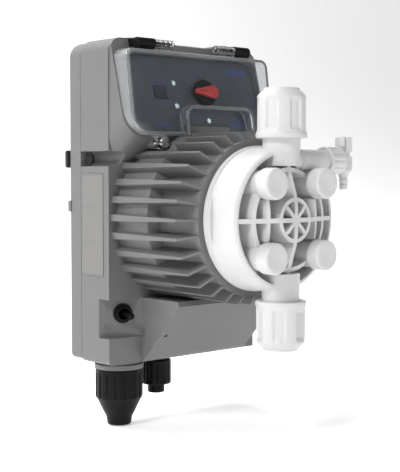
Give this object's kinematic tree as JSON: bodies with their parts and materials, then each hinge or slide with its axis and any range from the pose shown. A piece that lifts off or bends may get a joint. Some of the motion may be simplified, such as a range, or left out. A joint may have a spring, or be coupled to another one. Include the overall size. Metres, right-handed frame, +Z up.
{
  "type": "solenoid diaphragm metering pump",
  "caption": "Wall-hung metering pump with finned solenoid barrel, inclined panel under a hinged clear cover, ribbed white head, union nuts and a bleed valve.",
  "frame": {"origin": "on the wall plane, midway between the two wall screw holes", "axes": "+Y into the wall, -Y towards the pump head, +Z up, +X to the right seen from the front"},
  "size_m": [0.1072, 0.1297, 0.2104],
  "materials": {
    "casing": "satin grey moulded casing",
    "rubber": "matt black rubber",
    "steel": "stainless steel",
    "plated_steel": "zinc plated steel",
    "label": "bare rating plate",
    "panel": "dark printed sheet",
    "panel_key": "dark key",
    "led": "clear light tip",
    "board": "green board",
    "black_plastic": "matt black",
    "grey_plastic": "matt grey",
    "green_plastic": "terminal block",
    "red_plastic": "red pointer",
    "clear": "clear polycarbonate",
    "copper": "enamelled copper winding",
    "brass": "plain bearing bush",
    "ptfe": "white ptfe",
    "ceramic": "ceramic ball",
    "white_plastic": "white fluoropolymer"
  },
  "bodies": {
    "pump": {"rear_cover": "casing", "wall_pads": "rubber", "casing_gasket": "rubber", "front_casing": "casing", "casing_screws": "steel", "rating_label": "label", "control_panel": "panel", "status_leds": "led", "circuit_board": "board", "key_switch": "black_plastic", "potentiometer": "black_plastic", "hinge_blocks": "black_plastic", "switch_body": "black_plastic", "switch_bush": "black_plastic", "gland_body": "grey_plastic", "gland_locknut": "black_plastic", "gland_nut": "black_plastic", "gland_seal": "rubber", "signal_port": "black_plastic", "signal_plug": "black_plastic", "power_board": "board", "terminal_block": "green_plastic", "filter_capacitor": "black_plastic", "solenoid_yoke": "plated_steel", "coil_bobbin": "black_plastic", "coil_winding": "copper", "pole_piece": "plated_steel", "clamp_plate": "plated_steel", "armature_bumper": "rubber", "return_spring": "steel", "shaft_bush": "brass", "diaphragm": "ptfe", "pump_head": "white_plastic", "head_screws": "steel", "bolt_caps": "white_plastic", "discharge_seat": "white_plastic", "discharge_cage": "white_plastic", "discharge_seal": "rubber", "discharge_tail": "white_plastic", "discharge_nut": "white_plastic", "suction_seat": "white_plastic", "suction_cage": "white_plastic", "suction_seal": "rubber", "suction_tail": "white_plastic", "suction_nut": "white_plastic", "bleed_body": "white_plastic", "bleed_collar": "white_plastic"},
    "clear_cover": {"clear_cover": "clear", "cover_screws": "steel"},
    "adjuster": {"adjuster_disc": "black_plastic", "adjuster_pointer": "red_plastic"},
    "power_toggle": {"switch_lever": "black_plastic"},
    "mode_key": {"mode_key": "panel_key"},
    "armature": {"plunger": "plated_steel", "support_plate": "plated_steel"},
    "discharge_ball": {"discharge_ball": "ceramic"},
    "suction_ball": {"suction_ball": "ceramic"},
    "bleed_knob": {"bleed_knob": "white_plastic"}
  },
  "joints": [
    {"name": "cover_hinge", "type": "hinge", "parent": "pump", "child": "clear_cover", "pos_m": [0, -0.0459, 0.0606], "axis": [-1, 0, 0], "range_deg": [0, 110]},
    {"name": "adjuster_turn", "type": "hinge", "parent": "pump", "child": "adjuster", "pos_m": [0.0066, -0.04572, 0.036], "axis": [0, -0.9677, 0.2521], "range_deg": [-225, 45]},
    {"name": "power_toggle_rock", "type": "hinge", "parent": "pump", "child": "power_toggle", "pos_m": [-0.04049, -0.03225, -0.0826], "axis": [-0.2874, 0.1134, -0.9511], "range_deg": [0, 26]},
    {"name": "mode_key_press", "type": "slide", "parent": "pump", "child": "mode_key", "axis": [0, 0.9677, -0.2521], "range_m": [0, 0.0005], "stiffness_N_per_m": 1500},
    {"name": "armature_stroke", "type": "slide", "parent": "pump", "child": "armature", "axis": [0, -1, 0], "range_m": [0, 0.00125], "stiffness_N_per_m": 4000, "springref_m": -0.004, "deforming": ["return_spring", "diaphragm"]},
    {"name": "discharge_ball_lift", "type": "slide", "parent": "pump", "child": "discharge_ball", "axis": [0, 0, 1], "range_m": [0, 0.0015]},
    {"name": "suction_ball_lift", "type": "slide", "parent": "pump", "child": "suction_ball", "axis": [0, 0, 1], "range_m": [0, 0.0015]},
    {"name": "bleed_knob_turn", "type": "hinge", "parent": "pump", "child": "bleed_knob", "pos_m": [0.0449, -0.1145, -0.0011], "axis": [0, 0, 1], "range_deg": [0, 180]}
  ]
}
